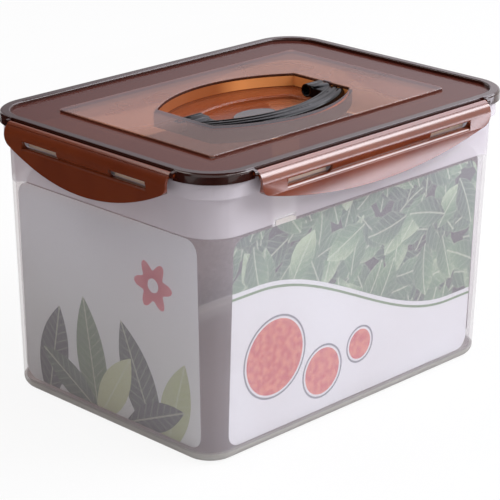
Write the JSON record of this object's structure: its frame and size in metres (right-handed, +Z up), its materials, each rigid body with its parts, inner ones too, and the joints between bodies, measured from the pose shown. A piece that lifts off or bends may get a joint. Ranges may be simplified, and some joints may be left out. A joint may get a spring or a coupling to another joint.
{
  "type": "kimchi container",
  "caption": "Translucent storage tub with a smoky clip-on lid, hinged wing latches round the rim, a carrying bow that folds into a well in the lid, and printed cards inside the walls.",
  "frame": {"origin": "on the floor under the middle of the tub", "axes": "+X along the length, -Y towards the front, +Z up"},
  "size_m": [0.3252, 0.239, 0.2042],
  "materials": {
    "tub": "satin, translucent natural polypropylene",
    "lid": "gloss, translucent smoky brown",
    "seal": "matt silicone",
    "badge": "gloss",
    "handle": "gloss black",
    "latch": "gloss red-brown, slightly pearly",
    "card": "printed card"
  },
  "bodies": {
    "tub": {"tub": "tub", "card_front": "card", "card_back": "card", "card_left": "card", "card_right": "card"},
    "lid": {"lid": "lid", "lid_seal": "seal", "badge": "badge"},
    "carry_handle": {"carry_handle": "handle"},
    "latch_front": {"latch_front": "latch"},
    "latch_back": {"latch_back": "latch"},
    "latch_left": {"latch_left": "latch"},
    "latch_right": {"latch_right": "latch"}
  },
  "joints": [
    {"name": "lid_lift", "type": "slide", "parent": "tub", "child": "lid", "axis": [0, 0, 1], "range_m": [0, 0.12]},
    {"name": "handle_fold", "type": "hinge", "parent": "lid", "child": "carry_handle", "pos_m": [0, 0, 0.1987], "axis": [-1, 0, 0], "range_deg": [0, 180]},
    {"name": "latch_front_hinge", "type": "hinge", "parent": "lid", "child": "latch_front", "pos_m": [0, -0.1129, 0.20075], "axis": [-1, 0, 0], "range_deg": [0, 110]},
    {"name": "latch_back_hinge", "type": "hinge", "parent": "lid", "child": "latch_back", "pos_m": [0, 0.1129, 0.20075], "axis": [1, 0, 0], "range_deg": [0, 110]},
    {"name": "latch_left_hinge", "type": "hinge", "parent": "lid", "child": "latch_left", "pos_m": [-0.1557, 0, 0.20075], "axis": [0, 1, 0], "range_deg": [0, 110]},
    {"name": "latch_right_hinge", "type": "hinge", "parent": "lid", "child": "latch_right", "pos_m": [0.1557, 0, 0.20075], "axis": [0, -1, 0], "range_deg": [0, 110]}
  ]
}
